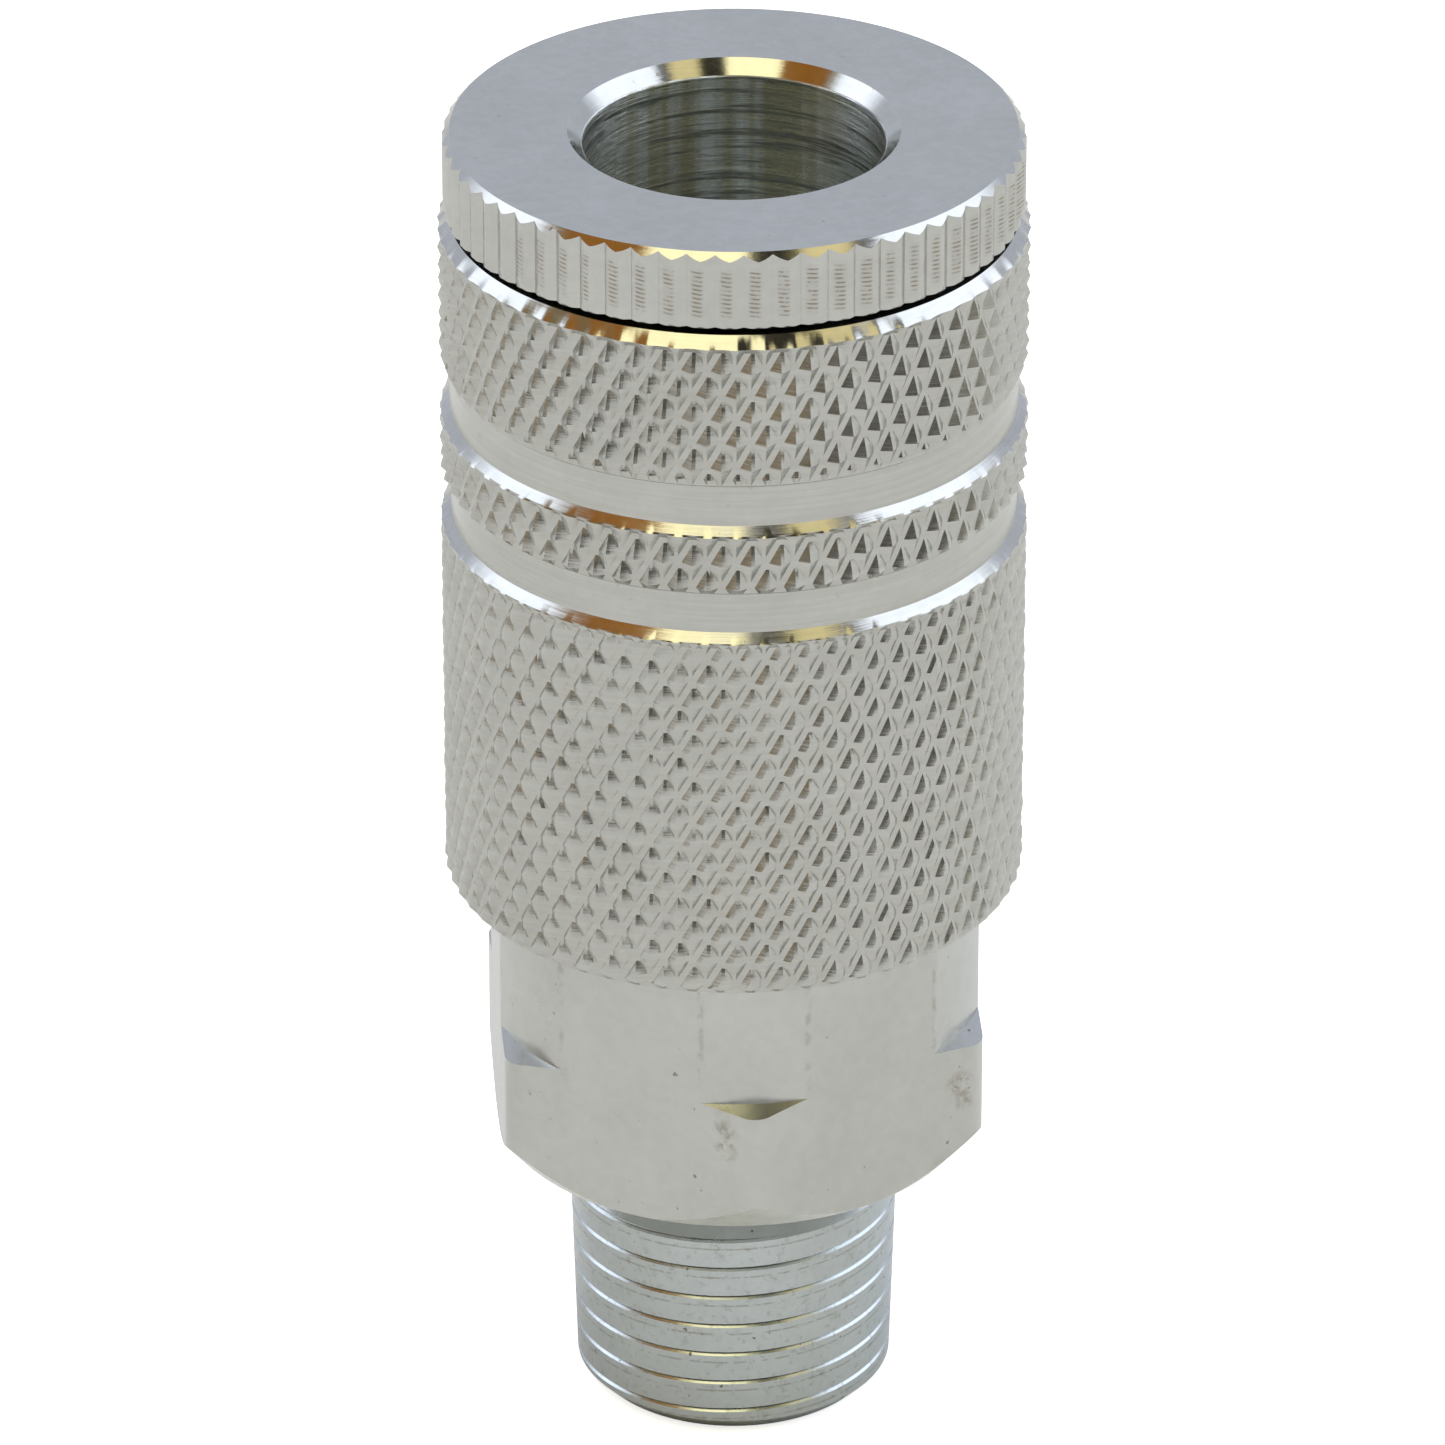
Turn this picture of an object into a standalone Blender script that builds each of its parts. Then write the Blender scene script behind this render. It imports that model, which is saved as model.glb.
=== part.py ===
"""Quick disconnect air coupler with a male 1/4-18 NPT end, in metres, +Z up.

The origin is the centre of the threaded end's face, and the coupler stands on that face. The plug enters
from the top, down the Z axis. The barrel screws into the hex adapter and carries the sliding sleeve, whose
cone holds the locking balls in. The valve stack sits in the barrel's rear bore, under the plug bore.
"""

import math

import bmesh
import bpy
from mathutils import Matrix, Vector

# ---- Driving dimensions, in metres ----------------------------------------------------------------

# Fits
RUNNING_GAP = 0.00020  # radial, between a piece and the bore or pin that guides it
SEAT_GAP = 0.00030  # between a piece and the face it is seated on

# Male pipe thread, 1/4-18 NPT
PIPE_PITCH = 0.0014111
PIPE_TAPER = 1 / 32  # growth of the radius along the thread
PIPE_END_R = 0.00663  # crest radius at the end face, before the chamfer
PIPE_THREAD_Z = 0.00964  # where the full thread stops, above the end face
PIPE_END_CHAMFER = 0.00062
THREAD_GROOVE_DEPTH = 0.00036
FLOW_BORE_R = 0.00420
NECK_R = 0.00620

# Sleeve: the knurl's radius drives every other radius but those of the pipe thread
SLEEVE_R = 0.01206  # over the knurl
SLEEVE_BASE_Z = 0.02443
SLEEVE_TRAVEL = 0.00580
SLEEVE_STOP_GAP = 0.00027  # left above the hex shoulder when the sleeve is drawn right back
SLEEVE_TOP_CHAMFER = 0.00047
SLEEVE_BASE_CHAMFER = 0.00018
SLEEVE_SKIRT_WALL = 0.00131
SLEEVE_SKIRT_GAP = 0.00025  # radial, over the adapter's turned part
SLEEVE_LAND_WALL = 0.00376
SLEEVE_LAND_GAP = 0.00025  # radial, over the barrel
SLEEVE_LAND_HEIGHT = 0.00290  # from the spring shoulder up to the ball centres
RELIEF_EXTRA_R = 0.00015  # the relief above the cone is this much wider than the cone's end
GROOVE_DEPTH = 0.00044
GROOVE_BEVEL = 0.00038  # height of the bevels beside each groove
GROOVE_HEIGHT = 0.00173  # of a groove's floor
FRONT_BAND = 0.00675  # from the sleeve's front end to the first groove's floor
MIDDLE_BAND = 0.00311  # between the floors of the two grooves
TEETH_ROUND = 63  # of the diamond knurl
TOOTH_HEIGHT = 0.00215
KNURL_DEPTH = 0.00034

# Hex of the adapter, with its corners on the Y axis
HEX_INSET = 0.00050  # the flats lie this far inside the turned part's radius
HEX_BASE_Z = 0.01222
HEX_CORNER_CHAMFER = 0.00218  # height of the bottom chamfer at the corners
SHOULDER_DROP = 0.00024  # fall of the shoulder from the turned part out to the corners
TURNED_CHAMFER = 0.00030
BLANK_MARGIN = 0.00030  # the turned blank's radius outside the hex corners
TURNED_IN_SLEEVE = 0.00657  # length of the turned part inside the sleeve

# Socket of the adapter, for the barrel's threaded shank
SHANK_STEP = 0.00065
SHANK_LENGTH = 0.00370
CHAMBER_DEPTH = 0.00320  # flow chamber under the valve guide

# Barrel
BARREL_AHEAD = 0.02687  # from the adapter's top to the coupler's front face
FLANGE_HEIGHT = 0.00327
FLANGE_GAP = 0.00035  # between the flange and the sleeve's front end
FLANGE_INSET = 0.00023  # the flange's rim lies this far inside the knurl's radius
FLANGE_CHAMFER = 0.00032
FLUTES = 64
FLUTE_DEPTH = 0.00026
PLUG_BORE_WALL = 0.00190
PLUG_BORE_DEPTH = 0.01487
MOUTH_CHAMFER = 0.00061
WEB_THICKNESS = 0.00180  # web between the plug bore and the rear bore
WEB_LEDGE = 0.00185  # from the plug bore in to the hole for the plug's nose
REAR_BORE_WALL = 0.00165

# Locking balls
BALL_COUNT = 6
BALL_R = 0.0015875  # 1/8 inch ball
BALL_DEPTH = 0.01137  # of the ball centres, under the front face
BALL_TRAVEL = 0.00120  # outward, while the sleeve makes its whole stroke
BALL_LAND_GAP = 0.00009
BALL_HOLE_SLOPE = math.radians(15)  # half angle of the tapered ball holes
BALL_HOLE_GAP = 0.00005

# Sleeve spring and its washer
WASHER_THICKNESS = 0.00070
WASHER_INSET = 0.00055  # radial, inside the sleeve's skirt
SLEEVE_WIRE_R = 0.00055
SLEEVE_SPRING_INSET = 0.00140  # from the sleeve's skirt to the middle of the wire
SLEEVE_SPRING_PITCH = 0.00264
SLEEVE_SPRING_END_PITCH = 0.00165

# Valve stack
NOSE_SEAL_INSET = 0.00040  # the seal's bore is this much smaller than the nose hole's radius
NOSE_SEAL_HEIGHT = 0.00220
NOSE_SEAL_LIP = 0.00070  # depth of the groove between its lips
SEAT_INSET = 0.00100  # the seat's bore is this much smaller than the nose hole's radius
SEAT_RING_HEIGHT = 0.00230
SNAP_WIRE_R = 0.00040
SNAP_RING_INSET = 0.00010  # from the rear bore to the middle of the wire
SNAP_RING_OPEN = math.radians(34)
HEAD_INSET = 0.00120  # from the rear bore to the poppet head's rim
HEAD_THICKNESS = 0.00150
BOSS_WALL = 0.00110
BOSS_HEIGHT = 0.00120
VALVE_SEAL_OFFSET = 0.00070  # from the seat's bore to the middle of the seal's section
VALVE_SEAL_TUBE_R = 0.00045
VALVE_SEAL_GROOVE_DEPTH = 0.00060
WING_WIDTH = 0.00090
VALVE_TRAVEL = 0.00280  # until the plug's nose reaches the seat ring
STEM_R = 0.00130
STEM_SOCKET_DEPTH = 0.00190
STEM_BELOW_GUIDE = 0.00220
STEM_CHAMFER = 0.00030
VALVE_WIRE_R = 0.00035
VALVE_SPRING_OFFSET = 0.00100  # from the boss to the middle of the wire
VALVE_SPRING_PITCH = 0.00133
VALVE_SPRING_END_PITCH = 0.00115
GUIDE_THICKNESS = 0.00150
GUIDE_HUB_WALL = 0.00100
GUIDE_HUB_HEIGHT = 0.00100
GUIDE_HOLES = 4
GUIDE_HOLE_R = 0.00115
GUIDE_HOLE_INSET = 0.00245  # from the disc's rim to the holes' centres
GASKET_THICKNESS = 0.00090

# Facets
SLEEVE_FACETS = 2 * TEETH_ROUND
BARREL_FACETS = 48
ADAPTER_FACETS = 36  # also the thread groove's points for each turn, so that both meet facet for facet
RING_FACETS = 24
BALL_FACETS = 12
HOLE_FACETS = 16
SEAL_TUBE_FACETS = 8
WIRE_FACETS = 16  # points for each turn of a spring
LEAST_COIL_GAP = 0.0004

# ---- Radii worked out from them, from the knurl inwards ---------------------------------------------

GROOVE_R = SLEEVE_R - GROOVE_DEPTH
FLANGE_R = SLEEVE_R - FLANGE_INSET
SKIRT_R = SLEEVE_R - SLEEVE_SKIRT_WALL
TURNED_R = SKIRT_R - SLEEVE_SKIRT_GAP
FLAT_R = TURNED_R - HEX_INSET  # from the axis to a hex flat
HEX_CORNER_R = FLAT_R / math.cos(math.pi / 6)
WASHER_R = SKIRT_R - WASHER_INSET
SLEEVE_SPRING_R = SKIRT_R - SLEEVE_SPRING_INSET
LAND_R = SLEEVE_R - SLEEVE_LAND_WALL
BARREL_R = LAND_R - SLEEVE_LAND_GAP
BALL_CENTRE_R = LAND_R - BALL_LAND_GAP - BALL_R
SHANK_R = BARREL_R - SHANK_STEP
PLUG_BORE_R = BARREL_R - PLUG_BORE_WALL
NOSE_BORE_R = PLUG_BORE_R - WEB_LEDGE
REAR_BORE_R = BARREL_R - REAR_BORE_WALL
NOSE_SEAL_R = NOSE_BORE_R - NOSE_SEAL_INSET
SEAT_RING_R = NOSE_BORE_R - SEAT_INSET
SNAP_RING_R = REAR_BORE_R - SNAP_RING_INSET
HEAD_R = REAR_BORE_R - HEAD_INSET
VALVE_SEAL_R = SEAT_RING_R + VALVE_SEAL_OFFSET
WING_R = SEAT_RING_R - RUNNING_GAP
BOSS_R = STEM_R + BOSS_WALL
VALVE_SPRING_R = BOSS_R + VALVE_SPRING_OFFSET
GUIDE_HUB_R = STEM_R + GUIDE_HUB_WALL

# ---- Heights worked out from them, from the bottom up -----------------------------------------------

HEX_FULL_Z = HEX_BASE_Z + HEX_CORNER_CHAMFER
SHOULDER_Z = SLEEVE_BASE_Z - SLEEVE_TRAVEL - SLEEVE_STOP_GAP  # the corners are turned down above this
ADAPTER_TOP_Z = SLEEVE_BASE_Z + TURNED_IN_SLEEVE
FACE_Z = ADAPTER_TOP_Z + BARREL_AHEAD
FLANGE_BASE_Z = FACE_Z - FLANGE_HEIGHT
SLEEVE_TOP_Z = FLANGE_BASE_Z - FLANGE_GAP
KNURL_TOP_Z = SLEEVE_TOP_Z - SLEEVE_TOP_CHAMFER
FRONT_GROOVE_TOP_Z = SLEEVE_TOP_Z - FRONT_BAND
REAR_GROOVE_TOP_Z = FRONT_GROOVE_TOP_Z - GROOVE_HEIGHT - MIDDLE_BAND
BALL_Z = FACE_Z - BALL_DEPTH
PLUG_BORE_FLOOR_Z = FACE_Z - PLUG_BORE_DEPTH
BARREL_REAR_Z = ADAPTER_TOP_Z + SEAT_GAP - SHANK_LENGTH
SOCKET_R = SHANK_R + RUNNING_GAP
DISC_R = SOCKET_R - RUNNING_GAP  # outside of the valve guide and the gasket
GUIDE_HOLE_CIRCLE_R = DISC_R - GUIDE_HOLE_INSET
CHAMBER_R = GUIDE_HOLE_CIRCLE_R + GUIDE_HOLE_R + RUNNING_GAP
GASKET_R = REAR_BORE_R + RUNNING_GAP
GASKET_TOP_Z = BARREL_REAR_Z - SEAT_GAP
GASKET_BASE_Z = GASKET_TOP_Z - GASKET_THICKNESS
GUIDE_TOP_Z = GASKET_BASE_Z - SEAT_GAP
GUIDE_BASE_Z = GUIDE_TOP_Z - GUIDE_THICKNESS
SOCKET_FLOOR_Z = GUIDE_BASE_Z - SEAT_GAP

WEB_BASE_Z = PLUG_BORE_FLOOR_Z - WEB_THICKNESS
NOSE_SEAL_TOP_Z = WEB_BASE_Z - SEAT_GAP
NOSE_SEAL_BASE_Z = NOSE_SEAL_TOP_Z - NOSE_SEAL_HEIGHT
SEAT_RING_TOP_Z = NOSE_SEAL_BASE_Z - SEAT_GAP
SEAT_RING_BASE_Z = SEAT_RING_TOP_Z - SEAT_RING_HEIGHT
SNAP_RING_Z = SEAT_RING_BASE_Z - SEAT_GAP - SNAP_WIRE_R
SNAP_GROOVE_R = SNAP_RING_R + SNAP_WIRE_R + SEAT_GAP
STACK_R = REAR_BORE_R - RUNNING_GAP  # outside of the nose seal and the seat ring

VALVE_SEAL_Z = SEAT_RING_BASE_Z - SEAT_GAP - VALVE_SEAL_TUBE_R
HEAD_TOP_Z = VALVE_SEAL_Z - VALVE_SEAL_TUBE_R - SEAT_GAP + VALVE_SEAL_GROOVE_DEPTH
HEAD_BASE_Z = HEAD_TOP_Z - HEAD_THICKNESS
BOSS_BASE_Z = HEAD_BASE_Z - BOSS_HEIGHT
WING_TOP_Z = SEAT_RING_TOP_Z + VALVE_TRAVEL
STEM_SOCKET_Z = BOSS_BASE_Z + STEM_SOCKET_DEPTH
STEM_TOP_Z = STEM_SOCKET_Z - SEAT_GAP
STEM_END_Z = GUIDE_BASE_Z - STEM_BELOW_GUIDE

SPRING_SHOULDER_Z = BALL_Z - SLEEVE_LAND_HEIGHT
WASHER_BASE_Z = ADAPTER_TOP_Z + SEAT_GAP
WASHER_TOP_Z = WASHER_BASE_Z + WASHER_THICKNESS


# ---- Tools ----------------------------------------------------------------------------------------

def clear_scene():
    for old in list(bpy.data.objects):
        bpy.data.objects.remove(old, do_unlink=True)


def new_collection(name):
    collection = bpy.data.collections.new(name)
    bpy.context.scene.collection.children.link(collection)
    return collection


def metal(name, colour, roughness, metallic=1.0):
    made = bpy.data.materials.new(name)
    made.use_nodes = True
    shader = made.node_tree.nodes["Principled BSDF"]
    shader.inputs["Base Color"].default_value = (*colour, 1.0)
    shader.inputs["Roughness"].default_value = roughness
    shader.inputs["Metallic"].default_value = metallic
    return made


def add_object(name, data, collection):
    made = bpy.data.objects.new(name, data)
    collection.objects.link(made)
    return made


def add_turned(name, outline, facets, collection):
    """A turned piece from points (radius, z) that run down its outside.

    With a hole down its axis, the outline goes back up the inside and is closed. Without one, it starts and
    ends on the axis.
    """
    lines = [(i, i + 1) for i in range(len(outline) - 1)]
    if outline[0][0] > 0:
        lines.append((len(outline) - 1, 0))
    mesh = bpy.data.meshes.new(name)
    mesh.from_pydata([(radius, 0.0, z) for radius, z in outline], lines, [])
    made = add_object(name, mesh, collection)
    screw = made.modifiers.new("turn", "SCREW")
    screw.axis = "Z"
    screw.angle = math.tau
    screw.steps = screw.render_steps = facets
    screw.use_merge_vertices = True
    screw.merge_threshold = 1e-6
    return made


def add_tube(name, points, tube_r, collection, sides_step=1):
    """A round wire along the points. sides_step 0 gives 4 sides, 1 gives 6 and 2 gives 8."""
    curve = bpy.data.curves.new(name, "CURVE")
    curve.dimensions = "3D"
    curve.twist_mode = "Z_UP"
    curve.bevel_depth = tube_r
    curve.bevel_resolution = sides_step
    curve.use_fill_caps = True
    spline = curve.splines.new("POLY")
    spline.points.add(len(points) - 1)
    for target, point in zip(spline.points, points):
        target.co = (*point, 1.0)
    return add_object(name, curve, collection)


def curve_to_mesh(curve_object, collection):
    """The curve as a closed mesh, under its own name."""
    name = curve_object.name
    bpy.context.view_layer.update()
    mesh = bpy.data.meshes.new_from_object(curve_object.evaluated_get(bpy.context.evaluated_depsgraph_get()))
    welded = bmesh.new()
    welded.from_mesh(mesh)
    bmesh.ops.remove_doubles(welded, verts=welded.verts, dist=1e-7)
    bmesh.ops.recalc_face_normals(welded, faces=welded.faces)
    welded.to_mesh(mesh)
    welded.free()
    place = curve_object.matrix_world.copy()
    bpy.data.objects.remove(curve_object, do_unlink=True)
    made = add_object(name, mesh, collection)
    made.matrix_world = place
    return made


def combine(target, tool, operation):
    boolean = target.modifiers.new(tool.name, "BOOLEAN")
    boolean.operation = operation
    boolean.object = tool
    boolean.solver = "EXACT"


def as_cutter(tool):
    tool.hide_render = True
    tool.display_type = "WIRE"
    return tool


def add_round_cutter(name, radius_1, radius_2, length, facets, place, collection):
    """A cylinder or cone along Z, radius_1 at its bottom, put where place says."""
    mesh = bpy.data.meshes.new(name)
    shape = bmesh.new()
    bmesh.ops.create_cone(
        shape, cap_ends=True, segments=facets, radius1=radius_1, radius2=radius_2, depth=length
    )
    shape.to_mesh(mesh)
    shape.free()
    made = add_object(name, mesh, collection)
    made.matrix_world = place
    return as_cutter(made)


def apply_modifiers(made):
    """Keeps the evaluated mesh, shaded smooth apart from its real edges."""
    bpy.context.view_layer.update()
    mesh = bpy.data.meshes.new_from_object(made.evaluated_get(bpy.context.evaluated_depsgraph_get()))
    mesh.name = made.name
    made.modifiers.clear()
    made.data = mesh
    mesh.shade_smooth()
    mesh.set_sharp_from_angle(angle=math.radians(32))


def spring_points(radius, base_z, top_z, pitch, end_pitch, facets):
    """Points along a compression spring with one closer turn at each end.

    Between them it has as many half turns of about that pitch as its length holds.
    """
    free_length = top_z - base_z - 2 * end_pitch
    free_turns = max(1, round(2 * free_length / pitch)) / 2
    free_pitch = free_length / free_turns
    points = []
    for i in range(round((free_turns + 2) * facets) + 1):
        turn = i / facets
        first = min(turn, 1.0)
        middle = min(max(turn - 1.0, 0.0), free_turns)
        last = max(turn - 1.0 - free_turns, 0.0)
        z = base_z + end_pitch * (first + last) + free_pitch * middle
        angle = math.tau * turn
        points.append((radius * math.cos(angle), radius * math.sin(angle), z))
    return points


def report_coil_gap(name, points, facets, wire_r):
    """Prints the least gap between a spring's neighbouring turns."""
    least = min(
        (Vector(points[i + facets]) - Vector(points[i])).length for i in range(len(points) - facets)
    )
    gap = least - 2 * wire_r
    note = "clear" if gap > LEAST_COIL_GAP else "too close"
    print(f"{name}: least gap between turns {gap * 1000:.2f} mm, {note}")


# ---- Pieces ---------------------------------------------------------------------------------------

def pipe_crest_r(z):
    return PIPE_END_R + PIPE_TAPER * z


def make_thread_cutter(cutters):
    """Helical groove of the pipe thread, right-handed, on the tapered crest surface."""
    start_z = -PIPE_PITCH
    turns = (PIPE_THREAD_Z + 2 * PIPE_PITCH) / PIPE_PITCH
    points = []
    for i in range(round(turns * ADAPTER_FACETS) + 1):
        turn = i / ADAPTER_FACETS
        z = start_z + PIPE_PITCH * turn
        radius = pipe_crest_r(z)
        angle = math.tau * turn
        points.append((radius * math.cos(angle), radius * math.sin(angle), z))
    wire = add_tube("thread_groove_cutter", points, THREAD_GROOVE_DEPTH, cutters, sides_step=0)
    return as_cutter(curve_to_mesh(wire, cutters))


def make_hex_cutter(cutters):
    """Hexagonal bar that the adapter is made from, corners on the Y axis."""
    length = 3 * ADAPTER_TOP_Z
    mesh = bpy.data.meshes.new("hex_bar")
    shape = bmesh.new()
    bmesh.ops.create_cone(
        shape, cap_ends=True, segments=6, radius1=HEX_CORNER_R, radius2=HEX_CORNER_R, depth=length
    )
    first_corner = min(shape.verts, key=lambda vertex: math.atan2(vertex.co.y, vertex.co.x) % math.tau)
    turn = math.pi / 2 - math.atan2(first_corner.co.y, first_corner.co.x)
    bmesh.ops.rotate(shape, verts=shape.verts, matrix=Matrix.Rotation(turn, 3, "Z"))
    shape.to_mesh(mesh)
    shape.free()
    return as_cutter(add_object("hex_bar", mesh, cutters))


def make_adapter(parts, cutters, finish):
    """Hex adapter: pipe thread below, hex in the middle, turned part and socket for the barrel above."""
    blank_r = HEX_CORNER_R + BLANK_MARGIN
    end_crest_r = pipe_crest_r(PIPE_END_CHAMFER)
    neck_bevel = pipe_crest_r(PIPE_THREAD_Z) - NECK_R
    chamber_base_z = SOCKET_FLOOR_Z - CHAMBER_DEPTH
    outline = [
        (TURNED_R - TURNED_CHAMFER, ADAPTER_TOP_Z),
        (TURNED_R, ADAPTER_TOP_Z - TURNED_CHAMFER),
        (TURNED_R, SHOULDER_Z),
        (blank_r, SHOULDER_Z - SHOULDER_DROP),
        (blank_r, HEX_FULL_Z),
        (FLAT_R, HEX_BASE_Z),
        (NECK_R, HEX_BASE_Z),
        (NECK_R, PIPE_THREAD_Z + neck_bevel),
        (pipe_crest_r(PIPE_THREAD_Z), PIPE_THREAD_Z),
        (end_crest_r, PIPE_END_CHAMFER),
        (end_crest_r - PIPE_END_CHAMFER, 0.0),
        (FLOW_BORE_R, 0.0),
        (FLOW_BORE_R, chamber_base_z),
        (CHAMBER_R, SOCKET_FLOOR_Z),
        (SOCKET_R, SOCKET_FLOOR_Z),
        (SOCKET_R, ADAPTER_TOP_Z),
    ]
    adapter = add_turned("hex_adapter", outline, ADAPTER_FACETS, parts)
    combine(adapter, make_hex_cutter(cutters), "INTERSECT")
    combine(adapter, make_thread_cutter(cutters), "DIFFERENCE")
    adapter.data.materials.append(finish)
    return adapter


def make_flute_cutter(cutters):
    """Square bars set cornerwise round the flange's rim. Each one cuts a V flute."""
    flange_height = FACE_Z - FLANGE_BASE_Z
    mesh = bpy.data.meshes.new("flute_bars")
    shape = bmesh.new()
    for index in range(FLUTES):
        turn = Matrix.Rotation(math.tau * (index + 0.5) / FLUTES, 4, "Z")
        middle = Matrix.Translation((FLANGE_R, 0.0, (FACE_Z + FLANGE_BASE_Z) / 2))
        bmesh.ops.create_cone(
            shape, cap_ends=True, segments=4, radius1=FLUTE_DEPTH, radius2=FLUTE_DEPTH,
            depth=2 * flange_height, matrix=turn @ middle,
        )
    shape.to_mesh(mesh)
    shape.free()
    return as_cutter(add_object("flute_bars", mesh, cutters))


def ball_angle(index):
    return math.tau * index / BALL_COUNT


def make_barrel(parts, cutters, finish):
    """Barrel: grip flange and plug bore above, tapered ball holes, rear bore and threaded shank below."""
    groove_half = SNAP_WIRE_R + SEAT_GAP
    outline = [
        (FLANGE_R - FLANGE_CHAMFER, FACE_Z),
        (FLANGE_R, FACE_Z - FLANGE_CHAMFER),
        (FLANGE_R, FLANGE_BASE_Z),
        (BARREL_R, FLANGE_BASE_Z),
        (BARREL_R, ADAPTER_TOP_Z + SEAT_GAP),
        (SHANK_R, ADAPTER_TOP_Z + SEAT_GAP),
        (SHANK_R, BARREL_REAR_Z),
        (REAR_BORE_R, BARREL_REAR_Z),
        (REAR_BORE_R, SNAP_RING_Z - groove_half),
        (SNAP_GROOVE_R, SNAP_RING_Z - groove_half),
        (SNAP_GROOVE_R, SNAP_RING_Z + groove_half),
        (REAR_BORE_R, SNAP_RING_Z + groove_half),
        (REAR_BORE_R, WEB_BASE_Z),
        (NOSE_BORE_R, WEB_BASE_Z),
        (NOSE_BORE_R, PLUG_BORE_FLOOR_Z),
        (PLUG_BORE_R, PLUG_BORE_FLOOR_Z),
        (PLUG_BORE_R, FACE_Z - MOUTH_CHAMFER),
        (PLUG_BORE_R + MOUTH_CHAMFER, FACE_Z),
    ]
    barrel = add_turned("barrel", outline, BARREL_FACETS, parts)
    combine(barrel, make_flute_cutter(cutters), "DIFFERENCE")
    slope = math.tan(BALL_HOLE_SLOPE)
    hole_r_at_ball = (BALL_R + BALL_HOLE_GAP) / math.cos(BALL_HOLE_SLOPE)
    inner_end = BALL_CENTRE_R - 2 * BALL_R
    outer_end = BARREL_R + BALL_R
    for index in range(BALL_COUNT):
        turn = Matrix.Rotation(ball_angle(index), 4, "Z")
        lay = Matrix.Rotation(math.pi / 2, 4, "Y")
        middle = Matrix.Translation(((inner_end + outer_end) / 2, 0.0, BALL_Z))
        hole = add_round_cutter(
            f"ball_hole_{index + 1}",
            hole_r_at_ball + (inner_end - BALL_CENTRE_R) * slope,
            hole_r_at_ball + (outer_end - BALL_CENTRE_R) * slope,
            outer_end - inner_end,
            HOLE_FACETS,
            turn @ middle @ lay,
            cutters,
        )
        combine(barrel, hole, "DIFFERENCE")
    barrel.data.materials.append(finish)
    return barrel


def knurl_band(top_z, base_z):
    """Outline points down one knurled band: its two edges, and the rows of the knurl between them."""
    row_height = TOOTH_HEIGHT / 2
    first_row = math.floor((KNURL_TOP_Z - top_z) / row_height) + 1
    last_row = math.ceil((KNURL_TOP_Z - base_z) / row_height) - 1
    rows = [(SLEEVE_R, KNURL_TOP_Z - row * row_height) for row in range(first_row, last_row + 1)]
    return [(SLEEVE_R, top_z), *rows, (SLEEVE_R, base_z)]


def press_knurl(sleeve):
    """Presses every other point of the bands inwards, as two knurling wheels do, which leaves pyramids."""
    bpy.context.view_layer.update()
    mesh = bpy.data.meshes.new_from_object(sleeve.evaluated_get(bpy.context.evaluated_depsgraph_get()))
    mesh.name = sleeve.name
    sleeve.modifiers.clear()
    sleeve.data = mesh
    shape = bmesh.new()
    shape.from_mesh(mesh)
    bands = [v for v in shape.verts if math.hypot(v.co.x, v.co.y) > SLEEVE_R - KNURL_DEPTH / 100]
    for point in bands:
        column = round(math.atan2(point.co.y, point.co.x) / math.tau * SLEEVE_FACETS)
        row = (KNURL_TOP_Z - point.co.z) / (TOOTH_HEIGHT / 2)
        rise = 1 - abs((column + row) % 2 - 1)
        scale = 1 - KNURL_DEPTH * (1 - rise) / SLEEVE_R
        point.co.x *= scale
        point.co.y *= scale
    pressed = set(bands)
    quads = [face for face in shape.faces if pressed.intersection(face.verts)]
    bmesh.ops.triangulate(shape, faces=quads, quad_method="SHORT_EDGE")
    shape.to_mesh(mesh)
    shape.free()


def make_sleeve(parts, finish):
    """Sliding sleeve: bands and grooves outside; skirt, spring shoulder, land, cone and relief inside."""
    cone_top_z = BALL_Z + SLEEVE_TRAVEL
    cone_top_r = LAND_R + BALL_TRAVEL
    outline = [(SLEEVE_R - SLEEVE_TOP_CHAMFER, SLEEVE_TOP_Z)]
    band_top_z = KNURL_TOP_Z
    for groove_top_z in (FRONT_GROOVE_TOP_Z, REAR_GROOVE_TOP_Z):
        groove_base_z = groove_top_z - GROOVE_HEIGHT
        outline += knurl_band(band_top_z, groove_top_z + GROOVE_BEVEL)
        outline += [(GROOVE_R, groove_top_z), (GROOVE_R, groove_base_z)]
        band_top_z = groove_base_z - GROOVE_BEVEL
    outline += knurl_band(band_top_z, SLEEVE_BASE_Z + SLEEVE_BASE_CHAMFER)
    outline += [
        (SLEEVE_R - SLEEVE_BASE_CHAMFER, SLEEVE_BASE_Z),
        (SKIRT_R, SLEEVE_BASE_Z),
        (SKIRT_R, SPRING_SHOULDER_Z),
        (LAND_R, SPRING_SHOULDER_Z),
        (LAND_R, BALL_Z),
        (cone_top_r, cone_top_z),
        (cone_top_r + RELIEF_EXTRA_R, cone_top_z),
        (cone_top_r + RELIEF_EXTRA_R, SLEEVE_TOP_Z),
    ]
    sleeve = add_turned("sleeve", outline, SLEEVE_FACETS, parts)
    press_knurl(sleeve)
    sleeve.data.materials.append(finish)
    return sleeve


def make_balls(parts, finish):
    balls = []
    for index in range(BALL_COUNT):
        angle = ball_angle(index)
        place = (BALL_CENTRE_R * math.cos(angle), BALL_CENTRE_R * math.sin(angle), BALL_Z)
        bpy.ops.mesh.primitive_uv_sphere_add(
            segments=BALL_FACETS, ring_count=BALL_FACETS // 2, radius=BALL_R, location=place
        )
        ball = bpy.context.object
        ball.name = f"locking_ball_{index + 1}"
        ball.data.name = ball.name
        for holder in list(ball.users_collection):
            holder.objects.unlink(ball)
        parts.objects.link(ball)
        ball.data.materials.append(finish)
        balls.append(ball)
    return balls


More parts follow.
